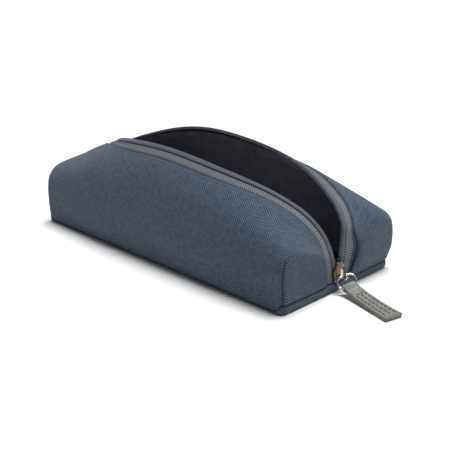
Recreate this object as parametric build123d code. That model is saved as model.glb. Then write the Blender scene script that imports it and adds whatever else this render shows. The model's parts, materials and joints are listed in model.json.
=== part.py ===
from build123d import *
import math
import os

# Soft zipped pencil case, lying open on its base.
# Millimetres.  Origin: centre of the underside of the base.
# +X points to the end where the slider is parked, +Z is up, +Y is the rear.

# ---- driving dimensions -------------------------------------------------
LENGTH = 210.0            # base, end wall to end wall
WIDTH = 93.0              # base, front to rear
BASE_EDGE_RADIUS = 2.5    # rounding along the long bottom edges
UNDERCUT = 0.4            # the sections reach this far below and are cut flat
CORNER_RADIUS = 4.0       # upright corners, seen from above
WALL_LEAN = 2.4           # degrees, slider end wall leans back
SHOULDER_RADIUS = 18.0    # slider end, wall into top
FAR_SHOULDER_RADIUS = 8.0 # other end
SEAM_HEIGHT = 5.0         # turned-up ends of the base panel

FABRIC = 0.9              # outer fabric
TAPE = 0.6                # zip tape
COIL = 1.4                # zip coil, under the tape's inner edge
FOAM = 2.0                # padding between fabric and lining
LINING = 0.5

TAPE_SHOWING = 9.7        # tape seen between the coil and the fabric's edge
TAPE_HIDDEN = 2.3         # tape sewn in under the fabric
COIL_IN = 0.35            # coil stands past the tape's inner edge by this
COIL_OUT = 1.6            # and lies under the tape by this

# The mouth: station along X, half of the gap between the two zip edges,
# and how high the edges stand there.
MOUTH = [
    (-110.0, 0.6, 41.0),
    (-95.0, 0.9, 45.5),
    (-80.0, 4.5, 52.0),
    (-65.0, 13.0, 58.0),
    (-50.0, 21.5, 62.5),
    (-30.0, 26.5, 65.5),
    (0.0, 26.5, 65.7),
    (30.0, 25.5, 62.6),
    (55.0, 21.4, 57.6),
    (75.0, 14.6, 50.6),
    (90.0, 9.2, 42.5),
    (110.0, 3.0, 30.0),
]
# Wall outline in the YZ plane, low at the ends and full in the middle.
LOW_WALL = [(47.0, 16.0), (46.0, 28.0), (41.5, 34.5), (30.0, 36.6)]
FULL_WALL = [(48.5, 18.0), (47.0, 34.0), (42.5, 48.0), (35.5, 58.5)]
LOW_TOP = 38.0
FULL_TOP = 66.0

# Zip on the slider end wall.  The two halves stand in a narrow V and turn
# about the zip's lower end as the slider rises.
ZIP_FOOT = 6.5            # height of the V's point
ZIP_FOOT_GAP = 0.5        # half gap there
ZIP_V = 9.9               # degrees, each half from upright
ZIP_END_TOP = 28.0        # the turning stretch ends here
ZIP_END_DEPTH = 1.6       # it runs this far behind the fabric's face
FABRIC_V = 9.4            # degrees, fabric edge beside the end wall zip
FABRIC_FOOT = 10.2        # half gap between the fabric edges at the seam

# Slider, in the end wall's frame: U out of the wall, Y across, W up it.
SLIDER_LOW = 6.6
SLIDER_LENGTH = 9.4
SLIDER_HALF_LOW = 3.9
SLIDER_HALF_HIGH = 5.1
EYE_U = 2.7               # eye of the crown
EYE_W = 8.8
EYE_RADIUS = 1.5
CROWN_WIDTH = 1.6

# Pull ring and leather puller.
WIRE_RADIUS = 0.6
RING_WIDTH = 10.2         # centre line to centre line
RING_REACH = 6.3
RING_CORNER = 2.6
RING_YAW = -16.0
RING_PITCH = 38.0
RING_ROLL = 24.0
PULLER_LENGTH = 34.0
PULLER_WIDTH = 11.4
PULLER_NECK = 7.2
PULLER_THICK = 2.2
FOLD_RADIUS = 1.9         # leather fold round the ring
FOLD_BORE = 1.05          # clears the ring where its corners begin
PULLER_YAW = -13.3
NECK_SKEW = 14.0          # degrees the neck turns to follow the ring
NECK_ROLL = 19.0
STITCH_START = 10.2
STITCH_LENGTH = 2.1
STITCH_PITCH = 2.8
STITCH_RADIUS = 0.28

HALF = LENGTH / 2
TAPE_DEPTH = FABRIC + TAPE
COIL_DEPTH = TAPE_DEPTH + COIL
FOAM_DEPTH = FABRIC + FOAM
LINING_DEPTH = FOAM_DEPTH + LINING

os.makedirs("parts", exist_ok=True)


def save(node, *solids):
    shapes = [s for shape in solids for s in shape.solids()]
    export_step(Compound(children=shapes) if len(shapes) > 1 else shapes[0], f"parts/{node}.step")


# ---- the outer form and forms inset from it -----------------------------
def wall_points(gap, top):
    share = (top - LOW_TOP) / (FULL_TOP - LOW_TOP)
    points = [(WIDTH / 2, BASE_EDGE_RADIUS)]
    for low, full in zip(LOW_WALL, FULL_WALL):
        points.append((low[0] + share * (full[0] - low[0]), low[1] + share * (full[1] - low[1])))
    points.append((gap, top))
    return points


def inset_points(points, inset):
    moved = []
    last = len(points) - 1
    for i, (y, z) in enumerate(points):
        y0, z0 = points[max(i - 1, 0)]
        y1, z1 = points[min(i + 1, last)]
        run = math.hypot(y1 - y0, z1 - z0)
        moved.append((y - inset * (z1 - z0) / run, z + inset * (y1 - y0) / run))
    moved[0] = (WIDTH / 2 - inset, BASE_EDGE_RADIUS)
    return moved


def section(x, gap, top, inset):
    points = inset_points(wall_points(gap, top), inset)
    points[0] = (WIDTH / 2 - inset, max(BASE_EDGE_RADIUS, inset + 0.6))
    right = [Vector(x, y, z) for y, z in points]
    left = [Vector(x, -y, z) for y, z in points]
    floor = inset - UNDERCUT
    radius = right[0].Z - floor
    foot = WIDTH / 2 - inset - radius
    slant = radius * math.sqrt(0.5)
    corner = Vector(x, foot + slant, floor + radius - slant)
    far_corner = Vector(x, -corner.Y, corner.Z)
    edges = [
        Line(Vector(x, -foot, floor), Vector(x, foot, floor)),
        ThreePointArc(Vector(x, foot, floor), corner, right[0]),
        Spline(*right),
        Line(right[-1], left[-1]),
        Spline(*reversed(left)),
        ThreePointArc(left[0], far_corner, Vector(x, -foot, floor)),
    ]
    return Wire(edges)


def end_form(inset):
    lean = math.tan(math.radians(WALL_LEAN))
    drop = 1.25 * inset
    with BuildSketch(Plane.XZ) as outline:
        with BuildLine():
            Polyline(
                (-HALF + inset, inset),
                (-HALF + inset, 43.5 - drop),
                (-58, 75 - drop),
                (52, 75.3 - drop),
                (HALF - 34 * lean - inset, 34 - drop),
                (HALF - inset * lean - inset, inset),
                close=True,
            )
        make_face()
        near = outline.vertices().sort_by(Axis.X)[-2:].sort_by(Axis.Y)[-1]
        far = outline.vertices().sort_by(Axis.X)[:2].sort_by(Axis.Y)[-1]
        fillet(near, SHOULDER_RADIUS - inset)
        fillet(far, FAR_SHOULDER_RADIUS - inset)
    return extrude(outline.sketch, WIDTH, both=True)


def plan_form(inset):
    side = 46.9 - inset
    with BuildSketch() as outline:
        with BuildLine():
            Polyline(
                (-HALF + inset, -side),
                (0, -side - 5),
                (HALF - inset, -side),
                (HALF - inset, side),
                (0, side + 5),
                (-HALF + inset, side),
                close=True,
            )
        make_face()
        corners = [v for v in outline.vertices() if abs(v.X) > 1]
        fillet(corners, max(CORNER_RADIUS - inset, 0.8))
    return Pos(0, 0, -5) * extrude(outline.sketch, 100)


def form(inset):
    body = Solid.make_loft([section(x, gap, top, inset) for x, gap, top in MOUTH])
    return body & end_form(inset) & plan_form(inset)


def plan_gap(extra):
    # Open region between the zip edges, widened on the slope by `extra`
    # measured along the fabric.
    side = []
    for i, (x, gap, top) in enumerate(MOUTH):
        gap_before, top_before = wall_points(gap, top)[-2]
        slope = math.atan2(top - top_before, gap_before - gap)
        side.append((x, gap + extra * math.cos(slope)))
    side = [p for p in side if p[0] < 95]
    side.append((99.0, 5.5 + extra))
    with BuildSketch() as outline:
        with BuildLine():
            upper = [Vector(x, y) for x, y in side]
            Spline(*upper)
            Line(upper[-1], Vector(upper[-1].X, -upper[-1].Y))
            Spline(*[Vector(v.X, -v.Y) for v in reversed(upper)])
            Line(Vector(upper[0].X, -upper[0].Y), upper[0])
        make_face()
    return Pos(0, 0, SEAM_HEIGHT) * extrude(outline.sketch, 100)


def end_gap(foot, degrees, low):
    # Open region on the slider end wall, a V cut off square.
    height = 60.0
    spread = foot + height * math.tan(math.radians(degrees))
    outline = Polygon((-foot, low), (foot, low), (spread, low + height), (-spread, low + height), align=None)
    return Pos(97.5, 0, 0) * extrude(Plane.YZ * outline, 20)


def mouth_gap(extra):
    v_foot = ZIP_FOOT_GAP + (SEAM_HEIGHT - ZIP_FOOT) * math.tan(math.radians(ZIP_V))
    if extra > TAPE_SHOWING - 0.1:
        foot = FABRIC_FOOT + extra - TAPE_SHOWING
        return plan_gap(extra) + end_gap(foot, FABRIC_V, SEAM_HEIGHT)
    return plan_gap(extra) + end_gap(v_foot + extra, ZIP_V, SEAM_HEIGHT)


outer = form(0)
under_fabric = form(FABRIC)
under_tape = form(TAPE_DEPTH)
under_foam = form(FOAM_DEPTH)
under_lining = form(LINING_DEPTH)

front_half = Pos(0, -100, 0) * Box(300, 200, 300)
rear_half = Pos(0, 100, 0) * Box(300, 200, 300)


def halves(name, shape):
    save(f"front_{name}", shape & front_half)
    save(f"rear_{name}", shape & rear_half)


# ---- outer fabric -------------------------------------------------------
fabric = outer - under_fabric
base_region = Pos(0, 0, -5 + BASE_EDGE_RADIUS) * Box(300, 200, 10)
base_region += Pos(0, 0, SEAM_HEIGHT - 5) * (Box(300, 200, 10) - Box(2 * HALF - 5, 300, 20))
halves("panel", fabric - base_region - mouth_gap(TAPE_SHOWING))
save("base_panel", fabric & base_region)

# ---- padding, board and lining -----------------------------------------
board_top = FOAM_DEPTH
zip_room = Pos(HALF, 0, 17) * Box(16, 2 * (FABRIC_FOOT + 8), 34)
foam_room = mouth_gap(TAPE_SHOWING + TAPE_HIDDEN + 0.5) + zip_room
below_board = Pos(0, 0, board_top - 10) * Box(300, 200, 20)
padding = under_fabric - under_foam - foam_room - below_board
halves("foam", padding)
save("base_board", under_fabric & below_board)

lining_room = mouth_gap(3.0) + zip_room
lining_floor = Pos(0, 0, -10 + LINING_DEPTH) * Box(300, 200, 20)
lining = under_foam - under_lining
halves("lining", lining - lining_room - lining_floor)
save("base_lining", lining & lining_floor)

# ---- zip along the mouth ------------------------------------------------
fixed_low = ZIP_END_TOP + 0.7
end_region = Pos(HALF, 0, fixed_low - 50) * Box(30, 200, 100)
foot_region = Pos(0, 0, SEAM_HEIGHT + 0.4 - 50) * Box(300, 200, 100)
tape = ((under_fabric - under_tape) & mouth_gap(TAPE_SHOWING + TAPE_HIDDEN)) - mouth_gap(0)
halves("tape", tape - end_region - foot_region)

coil_end_x = -HALF + 9
coil_layer = under_tape - form(COIL_DEPTH)
past_end = Pos(coil_end_x - 50, 0, 0) * Box(100, 200, 200)
coil = coil_layer - end_region - past_end
coil = (coil & mouth_gap(COIL_OUT)) - plan_gap(-COIL_IN) - end_gap(ZIP_FOOT_GAP - 0.6, ZIP_V, SEAM_HEIGHT)
halves("coil", coil)

stop_room = Pos(coil_end_x - 1.4, 0, 50) * (Box(2.4, 5.0, 40) - Box(3, 0.6, 50))
halves("top_stop", coil_layer & stop_room)

# ---- zip on the slider end wall -----------------------------------------
wall = Location((HALF, 0, 0), (0, -WALL_LEAN, 0))
v_run = math.tan(math.radians(ZIP_V))
zip_end_low = ZIP_FOOT + 0.2


def zip_half(inner, outer_edge, near, far):
    # A strip beside the V, from `inner` to `outer_edge` off the tape's
    # inner edge, between two depths behind the fabric's face.
    def edge(offset, w):
        return ZIP_FOOT_GAP + offset + (w - ZIP_FOOT) * v_run

    slant_top = ZIP_END_TOP - (outer_edge - inner) * v_run
    outline = Polygon(
        (edge(inner, zip_end_low), zip_end_low),
        (edge(outer_edge, zip_end_low), zip_end_low),
        (edge(outer_edge, slant_top), slant_top),
        (edge(inner, ZIP_END_TOP), ZIP_END_TOP),
        align=None,
    )
    return wall * Pos(-far, 0, 0) * extrude(Plane.YZ * outline, far - near)


tape_far = ZIP_END_DEPTH + TAPE
rear_tape_end = zip_half(0, TAPE_SHOWING + TAPE_HIDDEN, ZIP_END_DEPTH, tape_far)
rear_coil_end = zip_half(-COIL_IN, COIL_OUT, tape_far, tape_far + 1.0)
save("rear_tape_end", rear_tape_end)
save("front_tape_end", mirror(rear_tape_end, Plane.XZ))
save("rear_coil_end", rear_coil_end)
save("front_coil_end", mirror(rear_coil_end, Plane.XZ))

bottom_stop = wall * Pos(-2.0, 0, ZIP_FOOT - 0.7) * Box(2.6, 6.4, 1.3)
save("bottom_stop", fillet(bottom_stop.edges().filter_by(Axis.Y), 0.4))

# ---- slider -------------------------------------------------------------
slider_high = SLIDER_LOW + SLIDER_LENGTH


def slider_plate(shoulder, top_half, near, far):
    outline = Polygon(
        (-SLIDER_HALF_LOW, SLIDER_LOW),
        (SLIDER_HALF_LOW, SLIDER_LOW),
        (SLIDER_HALF_HIGH, shoulder),
        (top_half, slider_high),
        (-top_half, slider_high),
        (-SLIDER_HALF_HIGH, shoulder),
        align=None,
    )
    plate = extrude(Plane.YZ * fillet(outline.vertices(), 0.6), near - far)
    return Pos(far, 0, 0) * plate


top_plate = slider_plate(slider_high - 4.6, 1.9, 0.4, -1.2)
outer_rim = top_plate.faces().sort_by(Axis.X)[-1].edges()
top_plate = fillet(outer_rim, 0.5)
back_plate = slider_plate(slider_high - 2.2, SLIDER_HALF_HIGH - 0.9, -3.6, -4.6)
flange_block = slider_plate(slider_high - 2.2, SLIDER_HALF_HIGH - 0.9, -2.5, -3.7)
channel = Polygon(
    (-3.1, 0),
    (3.1, 0),
    (3.1, SLIDER_LOW),
    (4.3, slider_high),
    (4.3, 40),
    (-4.3, 40),
    (-4.3, slider_high),
    (-3.1, SLIDER_LOW),
    align=None,
)
flanges = flange_block - Pos(-6, 0, 0) * extrude(Plane.YZ * channel, 6)
divider = Pos(-2.4, 0, slider_high - 1.2) * Box(3.0, 1.0, 2.0)
save("slider_body", wall * (top_plate + back_plate + flanges + divider))

# The crown is a bent strip over the top plate with an eye for the ring.
with BuildSketch(Plane.XZ) as crown_side:
    with BuildLine():
        Polyline((0.4, 6.7), (3.7, 6.6), (5.0, 8.3), (4.5, 11.2), (2.2, 14.7), (0.4, 15.2), close=True)
    make_face()
    fillet([v for v in crown_side.vertices() if v.X > 1], 0.9)
    with Locations((EYE_U, EYE_W)):
        Circle(EYE_RADIUS, mode=Mode.SUBTRACT)
    with BuildLine():
        Polyline(
            (EYE_U - 1.4, EYE_W + 0.2),
            (EYE_U + 1.4, EYE_W + 0.2),
            (EYE_U + 0.8, 11.2),
            (1.5, 13.3),
            close=True,
        )
    make_face(mode=Mode.SUBTRACT)
crown = extrude(crown_side.sketch, CROWN_WIDTH / 2, both=True)
save("slider_crown", wall * crown)

# ---- pull ring ----------------------------------------------------------
eye = (wall * Pos(EYE_U, 0, EYE_W)).position
ring_place = Pos(eye) * Rot(0, 0, RING_YAW) * Rot(0, RING_PITCH, 0) * Rot(RING_ROLL, 0, 0)
with BuildPart() as ring:
    with BuildLine():
        loop = Polyline(
            (0, -RING_WIDTH / 2),
            (RING_REACH, -RING_WIDTH / 2),
            (RING_REACH, RING_WIDTH / 2),
            (0, RING_WIDTH / 2),
            close=True,
        )
        fillet(loop.vertices(), RING_CORNER)
    with BuildSketch(Plane(origin=(0, 0, 0), z_dir=(0, 1, 0))):
        Circle(WIRE_RADIUS)
    sweep()
save("pull_ring", ring_place * ring.part)

# ---- leather puller -----------------------------------------------------
bar = (ring_place * Pos(RING_REACH, 0, 0)).position
tip_height = PULLER_THICK / 2 + 0.05


def strap_plane(run):
    # Cross-section of the strap at a distance along it: turned and rolled
    # with the ring at the neck, flat on the ground at the tip.
    share = run / PULLER_LENGTH
    ease = share * (2 - share)
    height = bar.Z + (tip_height - bar.Z) * ease
    yaw = math.radians(PULLER_YAW)
    centre = Vector(bar.X + run * math.cos(yaw), bar.Y + run * math.sin(yaw), height)
    roll = math.radians(NECK_ROLL * (1 - ease))
    turn = yaw - math.radians(NECK_SKEW * max(0.0, 1 - run / 12.0) ** 2)
    across = Vector(-math.sin(turn), math.cos(turn), 0)
    width_dir = across * math.cos(roll) + Vector(0, 0, 1) * math.sin(roll)
    forward = Vector(math.cos(turn), math.sin(turn), 0)
    return Plane(origin=centre, x_dir=width_dir, z_dir=forward)


def strap_width(run):
    return PULLER_NECK + (PULLER_WIDTH - PULLER_NECK) * run / PULLER_LENGTH


strap_runs = [1.3, 4.0, 8.0, 12.0, 18.0, 26.0, PULLER_LENGTH]
strap_sections = [strap_plane(r) * Rectangle(strap_width(r), PULLER_THICK) for r in strap_runs]
strap = loft(strap_sections)
loop_place = ring_place * Pos(RING_REACH, 0, 0) * Rot(90, 0, 0)
hollow = Cylinder(FOLD_BORE, PULLER_NECK + 2)
fold = Cylinder(FOLD_RADIUS, PULLER_NECK) - hollow
puller = (strap - loop_place * hollow) + loop_place * fold
save("puller_leather", puller)


def stitch(run, offset):
    plane = strap_plane(run)
    seat = plane.origin + plane.x_dir * offset + plane.y_dir * (PULLER_THICK / 2 + 0.03)
    thread = Plane(origin=seat, x_dir=plane.x_dir, z_dir=plane.z_dir)
    half_round = Circle(STITCH_RADIUS) & Pos(0, STITCH_RADIUS) * Rectangle(2, 2 * STITCH_RADIUS)
    return thread * Pos(0, 0, -STITCH_LENGTH / 2) * extrude(half_round, STITCH_LENGTH)


stitches = []
for row in (-3.5, 0.0, 3.5):
    for number in range(8):
        run = STITCH_START + number * STITCH_PITCH
        offset = row * strap_width(run) / PULLER_WIDTH
        stitches.append(stitch(run, offset) - puller)
save("puller_stitching", *stitches)
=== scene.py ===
import json
import math

import bmesh
import bpy
import numpy as np
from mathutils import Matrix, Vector


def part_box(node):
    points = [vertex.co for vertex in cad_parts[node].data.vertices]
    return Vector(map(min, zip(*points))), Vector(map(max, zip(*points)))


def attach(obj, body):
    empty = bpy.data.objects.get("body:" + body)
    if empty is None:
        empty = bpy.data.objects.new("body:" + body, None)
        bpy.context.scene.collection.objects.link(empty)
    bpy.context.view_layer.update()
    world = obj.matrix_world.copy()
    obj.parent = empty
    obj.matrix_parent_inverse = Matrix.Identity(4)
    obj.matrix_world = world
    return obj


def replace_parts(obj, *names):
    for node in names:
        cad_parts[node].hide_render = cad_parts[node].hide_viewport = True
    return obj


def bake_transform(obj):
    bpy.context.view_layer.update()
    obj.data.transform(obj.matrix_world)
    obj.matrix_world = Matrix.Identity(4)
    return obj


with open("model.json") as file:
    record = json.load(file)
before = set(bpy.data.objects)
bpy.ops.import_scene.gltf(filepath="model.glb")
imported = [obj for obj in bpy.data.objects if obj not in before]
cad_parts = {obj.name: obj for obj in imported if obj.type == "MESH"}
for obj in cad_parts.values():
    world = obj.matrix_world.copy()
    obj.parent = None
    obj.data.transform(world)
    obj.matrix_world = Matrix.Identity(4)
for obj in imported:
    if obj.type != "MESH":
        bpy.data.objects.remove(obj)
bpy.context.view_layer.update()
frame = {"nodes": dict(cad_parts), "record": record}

MM = 0.001

# ---- the case's form, in millimetres, as the CAD model has it -----------
low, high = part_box("base_panel")
HALF = (high[0] - low[0]) / 2 / MM
SIDE = 46.5
EDGE = 2.5
LEAN = math.tan(math.radians(2.4))
SEAM = 5.0
TAPE_SHOWING = 9.7

MOUTH = np.array([
    (-115.0, 0.6, 39.5),
    (-95.0, 0.9, 45.5),
    (-80.0, 4.5, 52.0),
    (-65.0, 13.0, 58.0),
    (-50.0, 21.5, 62.5),
    (-30.0, 26.5, 65.5),
    (0.0, 26.5, 65.7),
    (30.0, 25.5, 62.6),
    (55.0, 21.4, 57.6),
    (75.0, 14.6, 50.6),
    (90.0, 9.2, 42.5),
    (105.0, 5.1, 33.2),
    (115.0, 3.0, 27.0),
])
LOW_WALL = np.array([(47.0, 16.0), (46.0, 28.0), (41.5, 34.5), (30.0, 36.6)])
FULL_WALL = np.array([(48.5, 18.0), (47.0, 34.0), (42.5, 48.0), (35.5, 58.5)])
LOW_TOP, FULL_TOP = 38.0, 66.0
HUB = 6.0                      # sections are measured round this height


def cubic(t, p, s):
    # Natural cubic spline through p at t, read at s.
    n = len(t)
    h = np.diff(t)
    a = np.zeros((n, n))
    b = np.zeros((n,) + p.shape[1:])
    a[0, 0] = a[-1, -1] = 1
    for i in range(1, n - 1):
        a[i, i - 1:i + 2] = h[i - 1], 2 * (h[i - 1] + h[i]), h[i]
        b[i] = 6 * ((p[i + 1] - p[i]) / h[i] - (p[i] - p[i - 1]) / h[i - 1])
    m = np.linalg.solve(a, b.reshape(n, -1)).reshape(b.shape)
    k = np.clip(np.searchsorted(t, s) - 1, 0, n - 2)
    hk = h[k]
    u, v = (t[k + 1] - s) / hk, (s - t[k]) / hk
    if p.ndim > 1:
        u, v, hk = u[:, None], v[:, None], hk[:, None]
    return u * p[k] + v * p[k + 1] + ((u**3 - u) * m[k] + (v**3 - v) * m[k + 1]) * hk**2 / 6


def ease(t):
    t = np.clip(t, 0, 1)
    return t * t * (3 - 2 * t)


STATIONS = np.arange(-114.0, 114.5, 1.0)
STEPS = 201
mouth_at = cubic(MOUTH[:, 0], MOUTH[:, 1:], STATIONS)
section_y = np.zeros((len(STATIONS), STEPS))
section_z = np.zeros_like(section_y)
section_length = np.zeros(len(STATIONS))
ANGLES = np.linspace(-0.35, math.pi / 2, 241)
section_radius = np.zeros((len(STATIONS), len(ANGLES)))
for row, (gap, top) in enumerate(mouth_at):
    share = (top - LOW_TOP) / (FULL_TOP - LOW_TOP)
    wall = LOW_WALL + share * (FULL_WALL - LOW_WALL)
    points = np.vstack([(SIDE, EDGE), wall, (gap, top)])
    chord = np.concatenate([[0], np.cumsum(np.hypot(*np.diff(points, axis=0).T))])
    fine = cubic(chord, points, np.linspace(0, chord[-1], 400))
    arc = np.concatenate([[0], np.cumsum(np.hypot(*np.diff(fine, axis=0).T))])
    section_length[row] = arc[-1]
    even = np.linspace(0, arc[-1], STEPS)
    section_y[row] = np.interp(even, arc, fine[:, 0])
    section_z[row] = np.interp(even, arc, fine[:, 1])
    ring = np.vstack([(SIDE, -12.0), fine, (0, top + 0.4)])
    angle = np.arctan2(ring[:, 1] - HUB, ring[:, 0])
    section_radius[row] = np.interp(ANGLES, angle, np.hypot(ring[:, 0], ring[:, 1] - HUB))


def grid_read(table, x, column):
    # Bilinear reading of a table of stations by columns.
    i = np.clip(x - STATIONS[0], 0, len(STATIONS) - 1.001)
    j = np.clip(column, 0, table.shape[1] - 1.001)
    i0, j0 = i.astype(int), j.astype(int)
    fi, fj = i - i0, j - j0
    lower = table[i0, j0] * (1 - fj) + table[i0, j0 + 1] * fj
    upper = table[i0 + 1, j0] * (1 - fj) + table[i0 + 1, j0 + 1] * fj
    return lower * (1 - fi) + upper * fi


def length_at(x):
    return np.interp(x, STATIONS, section_length)


def section(x, run):
    # Point on the section at x, `run` mm up the wall from the base edge.
    x, run = np.broadcast_arrays(np.asarray(x, float), np.asarray(run, float))
    column = run / length_at(x) * (STEPS - 1)
    y = grid_read(section_y, x, column)
    z = grid_read(section_z, x, column)
    below = np.minimum(run, 0)
    return y, z + below


def rounded(a, b, radius):
    # Both distances at once, with the corner between them rounded off.
    past = np.hypot(np.maximum(a + radius, 0), np.maximum(b + radius, 0))
    return np.minimum(np.maximum(a, b), -radius) + past


def outside(x, y, z, tight=0.0):
    # About the distance outside the form; negative inside.
    angle = np.arctan2(z - HUB, y)
    column = (angle - ANGLES[0]) / (ANGLES[1] - ANGLES[0])
    side = (np.hypot(y, z - HUB) - grid_read(section_radius, x, column)) * 0.95
    near = x - HALF + LEAN * np.maximum(z, 0)
    far = -x - HALF
    turn = ease((angle - 0.42) / 0.6)
    soften = 14 - 12 * tight * ease((y - 20) / 18)
    form = rounded(side, near, 4 + soften * turn)
    form = rounded(form, far, 4 + 5 * turn)
    return rounded(form, -z, EDGE)


def settle(x, y, z, inset, tight=0.0):
    # Slides points along a line from inside the case until they lie
    # `inset` mm inside its surface.
    x, y, z, inset = [np.asarray(a, float) for a in np.broadcast_arrays(x, y, z, inset)]
    cx, cy, cz = np.clip(x, -82, 82), 0.45 * y, HUB + 0.45 * (z - HUB)
    lo, hi = np.full(x.shape, 0.0), np.full(x.shape, 1.7)
    for _ in range(26):
        t = (lo + hi) / 2
        inner = outside(cx + t * (x - cx), cy + t * (y - cy), cz + t * (z - cz), tight) + inset < 0
        lo, hi = np.where(inner, t, lo), np.where(inner, hi, t)
    return np.stack([cx + t * (x - cx), cy + t * (y - cy), cz + t * (z - cz)], axis=-1)


PULL = 2.4                     # how far the rear half stands out, in mm
PULL_FROM = 20.0


def place(x, y, z, inset, side):
    # Settled points of one half.  The rear half stands open wider and is
    # pulled outward towards the slider end, clear of the slider's path.
    points = settle(x, y, z, inset, 1.0 if side > 0 else 0.0)
    if side > 0:
        px, py, pz = points[..., 0], points[..., 1], points[..., 2]
        beside = 1 - ease((py - 6) / 10)
        free = ease((pz - 2) / 14)
        held_y = 0.2 * ease((pz - 8) / 8) + 0.8 * ease((pz - 15) / 12)
        held_x = ease((pz - 24) / 9)
        along = ease((px - PULL_FROM) / (98 - PULL_FROM))
        points[..., 0] += PULL * along * (free + (held_x - free) * beside)
        points[..., 1] += PULL * along * (free + (held_y - free) * beside)
    return points * np.array([1, side, 1])


def zip_gap(z):
    # Half gap between the zip edges on the slider end wall.
    return 0.5 + (z - 6.5) * math.tan(math.radians(9.9))


# ---- meshes -------------------------------------------------------------
def collection_add(obj):
    bpy.context.scene.collection.objects.link(obj)
    return obj


def mesh_object(name, blocks, thickness=0.0):
    # blocks: (points, uv) grids in millimetres.
    bm = bmesh.new()
    layer = bm.loops.layers.uv.new("UVMap")
    for points, uv in blocks:
        rows, cols = points.shape[:2]
        verts = [[bm.verts.new(points[i, j] * MM) for j in range(cols)] for i in range(rows)]
        for i in range(rows - 1):
            for j in range(cols - 1):
                ring = ((i, j), (i + 1, j), (i + 1, j + 1), (i, j + 1))
                face = bm.faces.new([verts[a][b] for a, b in ring])
                face.smooth = True
                for loop, (a, b) in zip(face.loops, ring):
                    loop[layer].uv = uv[a, b]
    bmesh.ops.remove_doubles(bm, verts=bm.verts, dist=2e-5)
    bmesh.ops.dissolve_degenerate(bm, edges=bm.edges, dist=1e-6)
    bmesh.ops.recalc_face_normals(bm, faces=bm.faces)
    centre = Vector((0, 0, 0.02))
    vote = sum((f.calc_center_median() - centre).dot(f.normal) * f.calc_area() for f in bm.faces)
    if vote < 0:
        bmesh.ops.reverse_faces(bm, faces=bm.faces)
    mesh = bpy.data.meshes.new(name)
    bm.to_mesh(mesh)
    bm.free()
    obj = collection_add(bpy.data.objects.new(name, mesh))
    if thickness:
        solid = obj.modifiers.new("thickness", "SOLIDIFY")
        solid.thickness = thickness * MM
        solid.offset = -1
    return obj


def clustered(start, stop, count, sharp=2.0):
    # Points closer together towards both ends.
    t = np.linspace(-1, 1, count)
    s = np.sign(t) * (1 - (1 - np.abs(t)) ** sharp)
    return start + (stop - start) * (s + 1) / 2


def toward_end(start, stop, count, sharp=2.0):
    t = np.linspace(0, 1, count)
    return start + (stop - start) * (1 - (1 - t) ** sharp)


def folds(x, y, z, seed):
    # Slow unevenness of stuffed cloth, in millimetres.
    a = np.sin(0.071 * x + 1.7 * seed + 0.11 * z) * np.sin(0.093 * z - 0.05 * y + seed)
    b = np.sin(0.163 * x - 0.08 * y + 2.3 * seed) * np.sin(0.141 * z + 0.031 * x + 0.7 * seed)
    return 0.28 * a + 0.16 * b


def finished(obj):
    # Writes the modifiers' result into the mesh.
    depsgraph = bpy.context.evaluated_depsgraph_get()
    mesh = bpy.data.meshes.new_from_object(obj.evaluated_get(depsgraph))
    obj.modifiers.clear()
    obj.data = mesh
    return obj


# ---- sewn panels: a side and top sheet, with an end wall at each end ----
X_LINES = clustered(-HALF, HALF, 151, 1.8)
LOW_STEPS = np.linspace(0, 5.6, 15)
RISE = np.linspace(0, 1, 33)[1:]
ACROSS = clustered(0, 1, 45, 1.7)
SIDE_ROWS = len(LOW_STEPS) + len(RISE)


def corner_share(x):
    # Where the top corner lies, as a share of the section's length.
    row = int(round(x - STATIONS[0]))
    return np.argmax(section_y[row] + section_z[row]) / (STEPS - 1)


CORNERS = [corner_share(-HALF), corner_share(HALF)]


def seam_height(x):
    return 1.6 + (SEAM - 1.6) * ease((np.abs(x) - 99.0) / 5.0)


def sheet_runs(x, start, trim):
    total = length_at(x)[:, None]
    corner = total * np.interp(x, [-HALF, HALF], CORNERS)[:, None]
    low_part = start + LOW_STEPS[None, :] + 0 * total
    rise_part = low_part[:, -1:] + (corner - low_part[:, -1:]) * RISE[None, :]
    top_part = corner + (total - trim - corner) * ACROSS[None, 1:]
    return np.hstack([low_part, rise_part, top_part])


def end_edge(where, trim):
    # Half distance between the layer's edges on an end wall.
    if where > 0:
        return lambda z: 0.5 + trim + (z - 5.0) * 0.1655
    return lambda z: 0.75 + trim + 0 * z


def end_wall(where, runs, edge_y):
    # Coons patch over an end wall, in y and z.
    y, z = section(np.full(len(runs), where * HALF), runs)
    border = np.stack([y, z], axis=-1)
    outer, top = border[:SIDE_ROWS], border[SIDE_ROWS - 1:]
    up = (outer[:, 1] - outer[0, 1]) / (outer[-1, 1] - outer[0, 1])
    inner_z = outer[0, 1] + (top[-1, 1] - outer[0, 1]) * up
    inner_y = edge_y(inner_z) + (top[-1, 0] - edge_y(top[-1, 1])) * up**4
    inner = np.stack([inner_y, inner_z], axis=-1)
    run = np.concatenate([[0], np.cumsum(np.hypot(*np.diff(top, axis=0).T))])
    over = run / run[-1]
    bottom = outer[0] + (inner[0] - outer[0]) * over[:, None]
    a, b = over[None, :, None], up[:, None, None]
    patch = (1 - a) * outer[:, None] + a * inner[:, None] + (1 - b) * bottom[None] + b * top[None]
    patch -= (1 - a) * (1 - b) * outer[0] + a * (1 - b) * inner[0]
    patch -= (1 - a) * b * top[0] + a * b * top[-1]
    return patch


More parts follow.
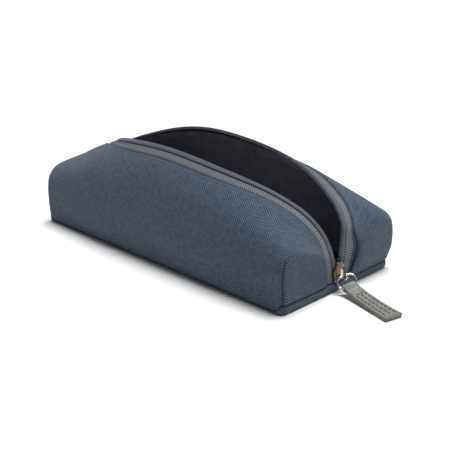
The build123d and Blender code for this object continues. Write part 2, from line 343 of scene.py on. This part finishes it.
def sewn_half(name, side, start, trim, depth, thickness, edges=None):
    # depth(x, y, z, edge, dart) is the layer's inset in millimetres: edge
    # is the distance from its free edge and dart from the upright corner.
    runs = sheet_runs(X_LINES, start, trim)
    x = np.broadcast_to(X_LINES[:, None], runs.shape)
    y, z = section(x, runs)
    edge = length_at(X_LINES)[:, None] - trim - runs
    main = place(x, y, z, depth(x, y, z, edge, HALF - np.abs(x)), side)
    blocks = [(main, np.stack([x, runs], axis=-1))]
    for where in (-1, 1):
        column = 0 if where < 0 else -1
        edge_y = (edges or {}).get(where, end_edge(where, trim))
        patch = end_wall(where, runs[column], edge_y)
        py, pz = patch[..., 0], patch[..., 1]
        free = py - py[:, -1:]
        dart = np.hypot(py - py[:, :1], pz - pz[:, :1])
        px = np.full(py.shape, where * HALF)
        wall = place(px, py, pz, depth(px, py, pz, free, dart), side)
        wall[:, 0] = main[column, :SIDE_ROWS]
        wall[-1] = main[column, SIDE_ROWS - 1:]
        down = where * (HALF + pz[-1:] - pz)
        across = np.broadcast_to(runs[column][None, SIDE_ROWS - 1:], py.shape)
        blocks.append((wall, np.stack([down, across], axis=-1)))
    return mesh_object(name, blocks, thickness)


def fabric_depth(seed):
    def depth(x, y, z, edge, dart):
        seam = seam_height(x)
        above = z - seam
        tuck = 0.8 * ease(1 - above / 1.1) + 0.5 * ease(-above / 0.5)
        window = ease((above + 1.0) / 1.0) * (1 - ease((z - 25.5) / 5.0))
        pinch = 0.95 * np.exp(-(dart / 0.55) ** 2) + 0.35 * np.exp(-(dart / 2.2) ** 2)
        hem = 0.95 * (1 - np.sqrt(np.clip(1 - np.clip(1 - edge / 1.1, 0, 1) ** 2, 0, 1)))
        hem = hem + 0.14 * np.exp(-((edge - 2.2) / 0.45) ** 2)
        calm = ease(above / 8.0) * ease(edge / 7.0)
        slack = folds(x, y, z, seed) * calm
        return tuck + pinch * window + hem - slack
    return depth


def lining_depth(seed):
    def depth(x, y, z, edge, dart):
        rise = 1.7 * (1 - ease(edge / 2.6))
        calm = ease((z - 3.5) / 8.0) * ease(edge / 7.0)
        wrinkle = 1.1 * folds(1.3 * x, y, 1.2 * z, seed) + 0.25 * np.sin(0.31 * x + 0.2 * z)
        return 3.75 - rise + (0.5 + wrinkle) * calm
    return depth


def padding_depth(x, y, z, edge, dart):
    return 1.4 + 2.6 * np.exp(-(dart / 2.0) ** 2) * (1 - ease((z - 26) / 6)) + 0 * x


zip_room = {1: lambda z: 18.6 + 0 * z}
slider_room = {1: lambda z: zip_gap(z) + 5.5}


def bend(obj):
    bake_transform(finished(obj))
    return obj


# ---- zip tapes and coils -------------------------------------------------
def zip_box(t, d):
    # Box point at t mm along the zip's route and d mm from its inner edge.
    # The route climbs the slider end wall, crosses the top and goes down
    # the far end wall.
    t, d = np.broadcast_arrays(np.asarray(t, float), np.asarray(d, float))
    near_y, near_z = section(np.full(d.shape, HALF), length_at(HALF) - d)
    far_y, far_z = section(np.full(d.shape, -HALF), length_at(-HALF) - d)
    x = np.clip(HALF - (t - ZIP_RISE), -HALF, HALF)
    top_y, top_z = section(x, length_at(x) - d)
    up = np.clip(t / ZIP_RISE, 0, 1)
    z_up = ZIP_LOW + (near_z - ZIP_LOW) * up
    y_up = zip_gap(z_up) + d + (near_y - zip_gap(near_z) - d) * up**4
    down = np.clip((t - ZIP_RISE - 2 * HALF) / ZIP_FALL, 0, 1)
    z_down = far_z + (ZIP_LOW - 3 - far_z) * down
    y_down = far_y + (0.75 + d - far_y) * ease(3 * down)
    on_near, on_far = t < ZIP_RISE, t > ZIP_RISE + 2 * HALF
    y = np.where(on_near, y_up, np.where(on_far, y_down, top_y))
    z = np.where(on_near, z_up, np.where(on_far, z_down, top_z))
    return x, y, z


ZIP_LOW = 5.6
ZIP_RISE = float(section(np.array([HALF]), length_at(HALF))[1][0]) - ZIP_LOW
ZIP_FALL = float(section(np.array([-HALF]), length_at(-HALF))[1][0]) - ZIP_LOW + 3
ROUTE = np.linspace(0, ZIP_RISE + 2 * HALF + ZIP_FALL, 1400)
line = settle(*zip_box(ROUTE, 3.0), 1.0)
route_length = np.concatenate([[0], np.cumsum(np.linalg.norm(np.diff(line, axis=0), axis=1))])


def at_length(s):
    return np.interp(s, route_length, ROUTE)


def low_share(t):
    # 1 on the slider end wall, where the tape runs inside the slider.
    return 1 - ease((t - (ZIP_RISE - 5.0)) / 14.0)


ZIP_ACROSS = np.array([
    -0.05, 0.0, 0.12, 0.35, 0.75, 1.6, 2.4, 2.95, 3.2, 3.4, 3.6, 3.8, 3.95, 4.2, 4.6,
    5.3, 6.0, 6.7, 7.3, 7.7, 8.0, 8.3, 8.8, 9.7, 10.6, 12.0,
])
CORD_EDGE = 3.4
BAND_CENTRE = 6.0
RIB = 1.25


def zip_tape(name, side):
    s = np.arange(0, route_length[-1], RIB / 4)
    t = at_length(s)[:, None]
    d = ZIP_ACROSS[None, :]
    low_wall = low_share(t)
    base = 0.98 + 0.66 * low_wall
    cord = ease((d + 0.05) / 0.6) * (1 - ease((d - CORD_EDGE + 0.5) / 0.55))
    band = np.sqrt(np.clip(1 - ((d - BAND_CENTRE) / 2.15) ** 2, 0, 1))
    ribs = 0.5 + 0.5 * np.cos(2 * math.pi * (s[:, None] + 0.45 * np.abs(d - BAND_CENTRE)) / RIB)
    ribbing = 0.2 * (ribs - 0.5) * (1 - 0.5 * low_wall)
    height = cord * (0.62 - 0.4 * low_wall) + band * (0.42 - 0.2 * low_wall + ribbing)
    groove = 0.3 * np.exp(-((d - CORD_EDGE - 0.2) / 0.3) ** 2) * (1 - 0.6 * low_wall)
    x, y, z = zip_box(t, d)
    points = place(x, y, z, base - height + groove, side)
    uv = np.stack(np.broadcast_arrays(s[:, None], d), axis=-1)
    return mesh_object(name, [(points, uv)], 0.5)


def tube(name, points, radius, sides=7):
    # A round wire through the points, in millimetres, with flat ends.
    tangent = np.gradient(points, axis=0)
    tangent /= np.linalg.norm(tangent, axis=1)[:, None]
    normal = np.cross(tangent[0], [0.3, 0.2, 0.9])
    bm = bmesh.new()
    rings = []
    for point, t in zip(points, tangent):
        normal = normal - t * np.dot(normal, t)
        normal /= np.linalg.norm(normal)
        other = np.cross(t, normal)
        turn = np.linspace(0, 2 * math.pi, sides, endpoint=False)
        rings.append([
            bm.verts.new((point + radius * (math.cos(a) * normal + math.sin(a) * other)) * MM)
            for a in turn
        ])
    for one, two in zip(rings, rings[1:]):
        for k in range(sides):
            face = bm.faces.new((one[k], one[(k + 1) % sides], two[(k + 1) % sides], two[k]))
            face.smooth = True
    bm.faces.new(rings[0])
    bm.faces.new(rings[-1])
    bmesh.ops.recalc_face_normals(bm, faces=bm.faces)
    mesh = bpy.data.meshes.new(name)
    bm.to_mesh(mesh)
    bm.free()
    return collection_add(bpy.data.objects.new(name, mesh))


COIL_PITCH = 1.5


def zip_coil(name, side):
    last = np.interp(ZIP_RISE + HALF + 96.0, ROUTE, route_length)
    s = np.arange(1.9, last, COIL_PITCH / 12)
    phase = 2 * math.pi * s / COIL_PITCH + (0 if side > 0 else math.pi)
    t = at_length(s)
    d = 0.3 + 1.15 * np.cos(phase)
    inset = 1.86 + 0.9 * low_share(t) + 0.34 * np.sin(phase)
    return tube(name, place(*zip_box(t, d), inset, side), 0.28)


# ---- base and floor ------------------------------------------------------
def tray(name, depth, thickness, rim, wrinkle=0.0):
    long_x = clustered(-HALF, HALF, 121, 1.8)
    short_y = clustered(-SIDE, SIDE, 61, 1.8)
    plan = [(x, -SIDE) for x in long_x]
    plan += [(HALF, y) for y in short_y[1:]]
    plan += [(x, SIDE) for x in long_x[::-1][1:]]
    plan += [(-HALF, y) for y in short_y[::-1][1:]]
    plan = np.array(plan)
    px, py = plan[:, 0][None], plan[:, 1][None]
    hub_x = np.clip(px, -66, 66)
    share = toward_end(0, 1, 26, 1.7)[:, None]
    x = hub_x + (px - hub_x) * share
    y = py * share
    z = np.zeros_like(x)
    u, v = x, y
    if rim:
        top = seam_height(px)
        rise = toward_end(0, 1, 16, 1.5)[1:, None] * top
        x = np.vstack([x, px + 0 * rise])
        y = np.vstack([y, py + 0 * rise])
        z = np.vstack([z, rise])
        at_end = np.abs(px) >= HALF
        u = np.vstack([u, px + np.where(at_end, np.sign(px) * rise, 0)])
        v = np.vstack([v, py + np.where(at_end, 0, np.sign(py) * rise)])
    left = seam_height(x) - z
    inset = depth + (0.75 * ease(1 - left / 0.9) if rim else 0)
    inset = inset - wrinkle * folds(x, y, z, 3.0)
    points = settle(x, np.abs(y), z, inset)
    points[..., 1] *= np.where(y < 0, -1, 1)
    return mesh_object(name, [(points, np.stack([u, v], axis=-1))], thickness)


# ---- leather puller ------------------------------------------------------
swing = [j for j in frame["record"]["behaviour"]["joints"] if j["name"] == "puller_swing"][0]
BAR = np.array(swing["pos_m"]) / MM
BAR_AXIS = -np.array(swing["axis"])
STRAP_YAW = math.radians(-13.3)
NECK_SKEW = math.radians(14)
NECK_ROLL = math.radians(19)
STRAP_LENGTH = 34.0
NECK_WIDTH = 7.2
TIP_WIDTH = 11.4
LAYER = 1.04


def strap_frame(run):
    share = np.clip(run / STRAP_LENGTH, 0, 1)
    drop = share * (2 - share)
    forward = np.array([math.cos(STRAP_YAW), math.sin(STRAP_YAW), 0])
    turn = STRAP_YAW - NECK_SKEW * max(0.0, 1 - max(run, 0) / 12.0) ** 2
    across = np.array([-math.sin(turn), math.cos(turn), 0])
    centre = BAR + run * forward
    centre[2] = BAR[2] + (1.16 - BAR[2]) * drop
    roll = NECK_ROLL * (1 - drop)
    wide = across * math.cos(roll) + np.array([0, 0, math.sin(roll)])
    near = float(ease(np.array((5.0 - run) / 5.0)))
    wide = wide * (1 - near) + BAR_AXIS * near
    wide /= np.linalg.norm(wide)
    slope = (1.16 - BAR[2]) * 2 * (1 - share) / STRAP_LENGTH if run > 0 else 0
    along = forward + np.array([0, 0, slope])
    up = np.cross(along, wide)
    up /= np.linalg.norm(up)
    return centre, wide, up


def strap_width(run):
    return NECK_WIDTH + (TIP_WIDTH - NECK_WIDTH) * run / STRAP_LENGTH


def strap_point(run, across, height):
    centre, wide, up = strap_frame(run)
    return centre + across * wide + height * up


def strap_path():
    # The folded strip's centre line as (run, height).
    lift, wrap = 0.54, 1.42
    path = [(r, lift, 0.0) for r in np.linspace(STRAP_LENGTH, 4.0, 60)]
    for k in range(1, 8):
        share = k / 8
        path.append((4.0 - 3.6 * share, lift + (wrap - lift) * float(ease(np.array(share))), 0.0))
    for angle in np.linspace(95, 265, 17):
        a = math.radians(angle)
        path.append((wrap * math.cos(a), wrap * math.sin(a), 0.0))
    for k in range(7, 0, -1):
        share = k / 8
        path.append((4.0 - 3.6 * share, -lift - (wrap - lift) * float(ease(np.array(share))), 0.0))
    path += [(r, -lift, 0.0) for r in np.linspace(4.0, STRAP_LENGTH - 0.35, 60)]
    return np.array(path)[:, :2]


def leather_strip(name):
    path = strap_path()
    tangent = np.gradient(path, axis=0)
    tangent /= np.hypot(*tangent.T)[:, None]
    normal = np.stack([-tangent[:, 1], tangent[:, 0]], axis=-1)
    corner = 0.3
    outline = []
    for sy, sz, first in ((1, 1, 0), (-1, 1, 90), (-1, -1, 180), (1, -1, 270)):
        for angle in (0, 30, 60, 90):
            a = math.radians(first + angle)
            outline.append((sy, corner * math.cos(a), sz * (LAYER / 2 - corner) + corner * math.sin(a)))
    bm = bmesh.new()
    layer = bm.loops.layers.uv.new("UVMap")
    run_length = np.concatenate([[0], np.cumsum(np.hypot(*np.diff(path, axis=0).T))])
    rings = []
    for i, (point, side_dir) in enumerate(zip(path, normal)):
        half = strap_width(max(point[0], 0)) / 2 - corner
        from_tip = min(run_length[i], run_length[-1] - run_length[i])
        half -= 0.5 * (1 - math.sqrt(1 - (1 - min(from_tip / 0.8, 1)) ** 2))
        ring = []
        for sy, dy, dz in outline:
            run, height = point + side_dir * dz
            ring.append(bm.verts.new(strap_point(run, sy * half + dy, height) * MM))
        rings.append(ring)
    count = len(outline)
    for i, (one, two) in enumerate(zip(rings, rings[1:])):
        for k in range(count):
            n = (k + 1) % count
            face = bm.faces.new((one[k], one[n], two[n], two[k]))
            face.smooth = True
            for loop, (ii, kk) in zip(face.loops, ((i, k), (i, n), (i + 1, n), (i + 1, k))):
                sy, dy, dz = outline[kk]
                loop[layer].uv = (run_length[ii], sy * strap_width(max(path[ii][0], 0)) / 2 + dy)
    bm.faces.new(rings[0])
    bm.faces.new(rings[-1])
    bmesh.ops.recalc_face_normals(bm, faces=bm.faces)
    mesh = bpy.data.meshes.new(name)
    bm.to_mesh(mesh)
    bm.free()
    return collection_add(bpy.data.objects.new(name, mesh))


def stitch_runs(name):
    # Stitches sunk into the leather: three rows and a bar across the start.
    seams = []
    for row in (-0.31, 0.0, 0.31):
        for k in range(8):
            start = 9.2 + 2.8 * k
            offsets = [row * strap_width(start + step) for step in (0.0, 2.2)]
            seams.append(((start, offsets[0]), (start + 2.2, offsets[1])))
    for k in (-1, 0):
        a = 0.31 * k * strap_width(8.6)
        seams.append(((8.6, a + 0.45), (8.6, a + 2.4)))
    bm = bmesh.new()
    for (run_a, across_a), (run_b, across_b) in seams:
        for face_sign in (1, -1):
            rings = []
            for share in np.linspace(0, 1, 9):
                run = run_a + (run_b - run_a) * share
                across = across_a + (across_b - across_a) * share
                swell = math.sin(math.pi * min(max(share, 0.02), 0.98)) ** 0.35
                radius = 0.27 * swell
                proud = 1.06 + 0.09 * math.sin(math.pi * share)
                height = proud if face_sign > 0 else -0.86
                centre, wide, up = strap_frame(run)
                along = np.cross(wide, up)
                side_dir = wide if run_a != run_b else along
                ring = []
                for a in np.linspace(0, 2 * math.pi, 7)[:-1]:
                    offset = math.cos(a) * side_dir + math.sin(a) * up
                    point = centre + across * wide + height * up + radius * offset
                    ring.append(bm.verts.new(point * MM))
                rings.append(ring)
            for one, two in zip(rings, rings[1:]):
                for k in range(6):
                    face = bm.faces.new((one[k], one[(k + 1) % 6], two[(k + 1) % 6], two[k]))
                    face.smooth = True
            bm.faces.new(rings[0])
            bm.faces.new(rings[-1])
    bmesh.ops.recalc_face_normals(bm, faces=bm.faces)
    mesh = bpy.data.meshes.new(name)
    bm.to_mesh(mesh)
    bm.free()
    return collection_add(bpy.data.objects.new(name, mesh))


# ---- materials -----------------------------------------------------------
class Nodes:
    # A small helper round one material's node tree.
    def __init__(self, name):
        self.material = bpy.data.materials.new(name)
        self.material.use_nodes = True
        self.tree = self.material.node_tree
        self.shader = self.tree.nodes["Principled BSDF"]

    def add(self, kind, **settings):
        node = self.tree.nodes.new(kind)
        for key, value in settings.items():
            setattr(node, key, value)
        return node

    def link(self, source, target):
        if hasattr(source, "bl_idname") and not hasattr(source, "is_output"):
            source = source.outputs[0]
        self.tree.links.new(source, target)

    def math(self, operation, a, b=None, c=None):
        node = self.add("ShaderNodeMath", operation=operation)
        for socket, value in zip(node.inputs, (a, b, c)):
            if value is None:
                continue
            if isinstance(value, (int, float)):
                socket.default_value = value
            else:
                self.link(value, socket)
        return node.outputs[0]

    def between(self, value, low, high):
        above = self.math("GREATER_THAN", value, low)
        return self.math("MULTIPLY", above, self.math("LESS_THAN", value, high))

    def noise(self, vector, scale, detail=2.0, roughness=0.5):
        node = self.add("ShaderNodeTexNoise")
        node.inputs["Scale"].default_value = scale
        node.inputs["Detail"].default_value = detail
        node.inputs["Roughness"].default_value = roughness
        if vector is not None:
            self.link(vector, node.inputs["Vector"])
        return node.outputs["Fac"]

    def ramp(self, factor, stops):
        node = self.add("ShaderNodeValToRGB")
        elements = node.color_ramp.elements
        while len(elements) < len(stops):
            elements.new(0.5)
        for element, (position, colour) in zip(elements, stops):
            element.position = position
            element.color = (*colour, 1)
        self.link(factor, node.inputs["Fac"])
        return node.outputs["Color"]

    def mix(self, factor, a, b):
        node = self.add("ShaderNodeMix", data_type="RGBA")
        sockets = [s for s in node.inputs if s.type == "RGBA"]
        if isinstance(factor, (int, float)):
            node.inputs[0].default_value = factor
        else:
            self.link(factor, node.inputs[0])
        for socket, value in zip(sockets, (a, b)):
            if isinstance(value, tuple):
                socket.default_value = (*value, 1)
            else:
                self.link(value, socket)
        return [s for s in node.outputs if s.type == "RGBA"][0]

    def uv(self):
        split = self.add("ShaderNodeSeparateXYZ")
        node = self.add("ShaderNodeUVMap", uv_map="UVMap")
        self.link(node.outputs["UV"], split.inputs[0])
        return split.outputs[0], split.outputs[1], node.outputs["UV"]

    def place(self):
        return self.add("ShaderNodeTexCoord").outputs["Object"]

    def bump(self, height, strength, distance):
        node = self.add("ShaderNodeBump")
        node.inputs["Strength"].default_value = strength
        node.inputs["Distance"].default_value = distance
        self.link(height, node.inputs["Height"])
        self.link(node.outputs["Normal"], self.shader.inputs["Normal"])

    def wave(self, value, pitch):
        # 0 to 1 and back over each pitch.
        turn = self.math("MULTIPLY", value, 2 * math.pi / pitch)
        return self.math("MULTIPLY_ADD", self.math("SINE", turn), 0.5, 0.5)

    def finish(self, colour=None, roughness=None, **fixed):
        if colour is not None:
            self.link(colour, self.shader.inputs["Base Color"])
        if roughness is not None:
            if isinstance(roughness, float):
                self.shader.inputs["Roughness"].default_value = roughness
            else:
                self.link(roughness, self.shader.inputs["Roughness"])
        for key, value in fixed.items():
            self.shader.inputs[key.replace("_", " ")].default_value = value
        return self.material


def srgb(r, g, b):
    values = []
    for c in (r, g, b):
        c /= 255
        values.append(c / 12.92 if c <= 0.04045 else ((c + 0.055) / 1.055) ** 2.4)
    return tuple(values)


def herringbone(name, dart_shade):
    n = Nodes(name)
    u, v, uv = n.uv()
    stripe = 6.0
    zigzag = n.math("PINGPONG", v, stripe)
    waver = n.math("MULTIPLY", n.math("SUBTRACT", n.noise(uv, 0.09, 3.0), 0.5), 1.6)
    band = n.math("FLOOR", n.math("DIVIDE", v, stripe))
    offset = n.math("MULTIPLY_ADD", band, 0.55, waver)
    diagonal = n.math("ADD", n.math("MULTIPLY_ADD", zigzag, 1.15, u), offset)
    twill = n.wave(diagonal, 1.5)
    yarn = n.noise(uv, 2.6, 2.0, 0.6)
    slub = n.noise(uv, 0.35, 3.0, 0.65)
    picks = n.wave(n.math("ADD", u, n.math("MULTIPLY", zigzag, -1.15)), 0.55)
    tone = n.math("ADD", n.math("MULTIPLY", twill, 0.58), n.math("MULTIPLY", yarn, 0.4))
    tone = n.math("ADD", tone, n.math("MULTIPLY", n.math("SUBTRACT", slub, 0.5), 0.45))
    tone = n.math("ADD", tone, n.math("MULTIPLY", picks, 0.08))
    colour = n.ramp(tone, [
        (0.12, srgb(17, 24, 35)),
        (0.42, srgb(43, 56, 73)),
        (0.66, srgb(72, 88, 107)),
        (0.95, srgb(128, 143, 156)),
    ])
    fade = n.noise(n.place(), 16.0, 2.0)
    colour = n.mix(n.math("MULTIPLY", fade, 0.25), colour, srgb(66, 75, 98))
    if dart_shade:
        # Painted shade: the stitched crease up each corner of a side panel is coloured near black where
        # its shade falls.
        upright = n.math("GREATER_THAN", n.math("ABSOLUTE", u), HALF - 0.45)
        upright = n.math("MULTIPLY", upright, n.math("LESS_THAN", v, 27.0))
        colour = n.mix(n.math("MULTIPLY", upright, 0.75), colour, srgb(20, 24, 32))
    height = n.math("ADD", n.math("MULTIPLY", twill, 0.7), n.math("MULTIPLY", yarn, 0.5))
    height = n.math("ADD", height, n.math("MULTIPLY", picks, 0.18))
    n.bump(height, 0.75, 0.00022)
    rough = n.math("MULTIPLY_ADD", yarn, 0.2, 0.74)
    return n.finish(colour, rough, Sheen_Weight=0.22, Sheen_Roughness=0.45, Specular_IOR_Level=0.28)


def lining_cloth():
    n = Nodes("lining_cloth")
    u, v, uv = n.uv()
    weave = n.math("MULTIPLY", n.wave(u, 0.5), n.wave(v, 0.5))
    crease = n.noise(uv, 0.12, 3.0, 0.55)
    colour = n.ramp(n.math("ADD", n.math("MULTIPLY", weave, 0.2), n.math("MULTIPLY", crease, 0.8)), [
        (0.2, srgb(102, 103, 113)),
        (0.8, srgb(146, 147, 158)),
    ])
    n.bump(n.math("ADD", n.math("MULTIPLY", weave, 0.2), crease), 0.35, 0.0006)
    return n.finish(colour, 0.62, Sheen_Weight=0.1, Specular_IOR_Level=0.3)


def zip_cloth():
    n = Nodes("zip_tape_cloth")
    u, v, uv = n.uv()
    from_centre = n.math("ABSOLUTE", n.math("SUBTRACT", v, BAND_CENTRE))
    ribs = n.wave(n.math("MULTIPLY_ADD", from_centre, 0.45, u), RIB)
    fine = n.wave(n.math("ADD", u, v), 0.55)
    fuzz = n.noise(uv, 3.0, 2.0, 0.6)
    cord = n.ramp(n.math("ADD", n.math("MULTIPLY", fine, 0.4), n.math("MULTIPLY", fuzz, 0.6)), [
        (0.2, srgb(60, 64, 78)),
        (0.8, srgb(104, 108, 122)),
    ])
    # The band's ribs: the weave's rib stripes, coloured light, with painted shade coloured dark in the
    # gaps between the ribs.
    band = n.ramp(n.math("ADD", n.math("MULTIPLY", ribs, 0.7), n.math("MULTIPLY", fuzz, 0.5)), [
        (0.2, srgb(50, 55, 64)),
        (0.6, srgb(98, 103, 110)),
        (1.0, srgb(158, 162, 166)),
    ])
    plain = n.ramp(fuzz, [(0.2, srgb(52, 60, 74)), (0.8, srgb(76, 86, 100))])
    in_band = n.between(v, BAND_CENTRE - 2.1, BAND_CENTRE + 2.1)
    # Painted shade: the groove beside the cord is coloured dark where its shade falls.
    groove_shade = n.between(v, CORD_EDGE - 0.05, CORD_EDGE + 0.45)
    colour = n.mix(n.math("GREATER_THAN", v, CORD_EDGE), cord, plain)
    colour = n.mix(groove_shade, colour, srgb(34, 38, 46))
    colour = n.mix(in_band, colour, band)
    n.bump(n.math("ADD", n.math("MULTIPLY", fine, 0.5), fuzz), 0.5, 0.00015)
    return n.finish(colour, 0.8, Sheen_Weight=0.15, Specular_IOR_Level=0.3)


def coil_plastic():
    n = Nodes("zip_coil_nylon")
    scuff = n.noise(n.place(), 900.0, 3.0)
    colour = n.ramp(scuff, [(0.3, srgb(70, 75, 84)), (0.7, srgb(126, 132, 140))])
    rough = n.math("MULTIPLY_ADD", scuff, 0.2, 0.32)
    return n.finish(colour, rough, Specular_IOR_Level=0.5)


def metal(name, dark, light, rough_low, rough_span, scale):
    n = Nodes(name)
    cloud = n.noise(n.place(), scale, 4.0, 0.6)
    scratch_space = n.add("ShaderNodeMapping")
    scratch_space.inputs["Scale"].default_value = (900, 260, 2600)
    n.link(n.place(), scratch_space.inputs["Vector"])
    scratch = n.noise(scratch_space.outputs[0], 1.0, 2.0)
    colour = n.ramp(cloud, [(0.25, dark), (0.75, light)])
    rough = n.math("MULTIPLY_ADD", n.math("MULTIPLY", cloud, scratch), rough_span, rough_low)
    n.bump(scratch, 0.03, 0.00002)
    return n.finish(colour, rough, Metallic=1.0)


def leather():
    n = Nodes("puller_leather_grain")
    place = n.place()
    cells = n.add("ShaderNodeTexVoronoi", feature="DISTANCE_TO_EDGE")
    cells.inputs["Scale"].default_value = 1700.0
    n.link(place, cells.inputs["Vector"])
    pebble = n.math("MINIMUM", n.math("MULTIPLY", cells.outputs["Distance"], 5.0), 1.0)
    mottled = n.noise(place, 260.0, 4.0, 0.6)
    u, v, uv = n.uv()
    # Lighter leather colour towards the fold (u = 46), fading out over 10 mm along the strip.
    from_fold = n.math("ABSOLUTE", n.math("SUBTRACT", u, 46.0))
    lighter_near_fold = n.math("SUBTRACT", 1.0, n.math("MULTIPLY", from_fold, 0.1))
    tone = n.math("ADD", n.math("MULTIPLY", mottled, 0.55), n.math("MULTIPLY", pebble, 0.22))
    tone = n.math("ADD", tone, n.math("MULTIPLY", n.math("MAXIMUM", lighter_near_fold, 0.0), 0.12))
    colour = n.ramp(tone, [
        (0.15, srgb(92, 94, 88)),
        (0.5, srgb(128, 130, 122)),
        (0.9, srgb(168, 169, 160)),
    ])
    n.bump(n.math("ADD", n.math("MULTIPLY", pebble, 0.5), mottled), 0.35, 0.00012)
    rough = n.math("MULTIPLY_ADD", mottled, 0.25, 0.42)
    return n.finish(colour, rough, Specular_IOR_Level=0.45, Coat_Weight=0.08)


def thread():
    n = Nodes("puller_thread_twist")
    place = n.place()
    spin = n.add("ShaderNodeTexWave", wave_type="BANDS", bands_direction="DIAGONAL")
    spin.inputs["Scale"].default_value = 900.0
    n.link(place, spin.inputs["Vector"])
    colour = n.ramp(spin.outputs["Fac"], [(0.2, srgb(34, 36, 38)), (0.9, srgb(70, 72, 74))])
    n.bump(spin.outputs["Fac"], 0.4, 0.0001)
    return n.finish(colour, 0.6, Specular_IOR_Level=0.35)


def felt():
    n = Nodes("foam_felt")
    pores = n.noise(n.place(), 1500.0, 4.0, 0.7)
    colour = n.ramp(pores, [(0.3, srgb(176, 176, 170)), (0.8, srgb(226, 226, 220))])
    n.bump(pores, 0.5, 0.0002)
    return n.finish(colour, 0.9)


def board():
    n = Nodes("board_plastic")
    grain = n.noise(n.place(), 420.0, 4.0, 0.6)
    colour = n.ramp(grain, [(0.3, srgb(58, 58, 60)), (0.8, srgb(86, 86, 88))])
    n.bump(grain, 0.3, 0.0002)
    return n.finish(colour, 0.55)


def floor_paint():
    n = Nodes("studio_floor")
    speck = n.noise(n.place(), 3.0, 2.0)
    colour = n.ramp(speck, [(0.0, (0.93, 0.93, 0.935)), (1.0, (0.95, 0.95, 0.95))])
    return n.finish(colour, 0.9, Specular_IOR_Level=0.1)


def paint(obj, material):
    obj.data.materials.clear()
    obj.data.materials.append(material)
    for polygon in obj.data.polygons:
        polygon.material_index = 0


def repaint(node, material):
    # A CAD node keeps its mesh; only its slots change.
    obj = frame["nodes"][node]
    if not obj.material_slots:
        obj.data.materials.append(material)
    for slot in obj.material_slots:
        slot.material = material


# ---- the pieces ----------------------------------------------------------
fabric_material = herringbone("herringbone_twill", True)
base_material = herringbone("herringbone_twill_base", False)
lining_material = lining_cloth()
tape_material = zip_cloth()
coil_material = coil_plastic()
felt_material = felt()

for half, side in (("front", -1), ("rear", 1)):
    panel = sewn_half(f"{half}_fabric", side, -1.3, TAPE_SHOWING, fabric_depth(1.0 + side), 0.9)
    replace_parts(bend(panel), f"{half}_panel")
    paint(panel, fabric_material)

    pad = sewn_half(f"{half}_padding", side, 0.8, 12.5, padding_depth, 1.9, zip_room)
    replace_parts(bend(pad), f"{half}_foam")
    paint(pad, felt_material)

    lining = sewn_half(f"{half}_lining_cloth", side, 0.6, 4.0, lining_depth(2.0 + side), 0.45, slider_room)
    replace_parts(bend(lining), f"{half}_lining")
    paint(lining, lining_material)

    tape = zip_tape(f"{half}_zip_tape", side)
    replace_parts(bend(tape), f"{half}_tape", f"{half}_tape_end")
    paint(tape, tape_material)

    coil = zip_coil(f"{half}_zip_coil", side)
    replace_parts(bend(coil), f"{half}_coil", f"{half}_coil_end")
    paint(coil, coil_material)

base = finished(tray("base_fabric", 0.0, 0.9, True))
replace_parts(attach(base, "case"), "base_panel")
paint(base, base_material)

floor_lining = finished(tray("base_lining_cloth", 3.1, 0.45, False, 0.9))
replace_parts(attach(floor_lining, "case"), "base_lining")
paint(floor_lining, lining_material)

strap = leather_strip("leather_puller")
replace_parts(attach(strap, "puller"), "puller_leather")
paint(strap, leather())

stitches = stitch_runs("puller_thread")
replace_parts(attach(stitches, "puller"), "puller_stitching")
paint(stitches, thread())

bright = metal("slider_plating", srgb(196, 188, 180), srgb(226, 221, 215), 0.14, 0.12, 260.0)
for node in ("slider_crown", "pull_ring"):
    repaint(node, bright)
bronze = metal("slider_bronze", srgb(104, 88, 74), srgb(158, 142, 126), 0.26, 0.2, 420.0)
repaint("slider_body", bronze)
dull = metal("stop_metal", srgb(120, 120, 122), srgb(170, 170, 172), 0.32, 0.3, 700.0)
for node in ("front_top_stop", "rear_top_stop", "bottom_stop"):
    repaint(node, dull)
repaint("base_board", board())

# ---- floor, light and camera ---------------------------------------------
scene = bpy.context.scene
bm = bmesh.new()
corners = [bm.verts.new((x, y, 0)) for x, y in ((-30, -30), (30, -30), (30, 30), (-30, 30))]
bm.faces.new(corners)
ground = bpy.data.meshes.new("studio_floor")
bm.to_mesh(ground)
bm.free()
floor = collection_add(bpy.data.objects.new("studio_floor", ground))
paint(floor, floor_paint())

world = bpy.data.worlds.new("studio")
scene.world = world
world.use_nodes = True
background = world.node_tree.nodes["Background"]
background.inputs["Color"].default_value = (1.0, 1.0, 1.0, 1)
background.inputs["Strength"].default_value = 0.11


def lamp(name, kind, energy, location, target, **settings):
    data = bpy.data.lights.new(name, kind)
    data.energy = energy
    for key, value in settings.items():
        setattr(data, key, value)
    obj = collection_add(bpy.data.objects.new(name, data))
    obj.location = location
    direction = Vector(target) - Vector(location)
    obj.rotation_euler = direction.to_track_quat("-Z", "Y").to_euler()
    return obj


lamp("overhead", "SUN", 3.6, (-0.1, 0.42, 2), (0, 0, 0), angle=math.radians(32))
lamp("rear_softbox", "AREA", 1.2, (0.35, 0.6, 0.75), (0, 0, 0.03), shape="RECTANGLE", size=0.9, size_y=0.5)

camera_data = bpy.data.cameras.new("camera")
camera_data.lens = 59.6
camera_data.sensor_width = 36
camera_data.clip_start, camera_data.clip_end = 0.01, 200
camera = collection_add(bpy.data.objects.new("camera", camera_data))
camera.location = (0.3198, -0.3006, 0.1654)
camera.rotation_euler = (math.radians(70.6), 0, math.radians(45.08))
scene.camera = camera
scene.view_settings.view_transform = "Standard"
scene.view_settings.look = "None"
scene.view_settings.exposure = 0
scene.view_settings.gamma = 1
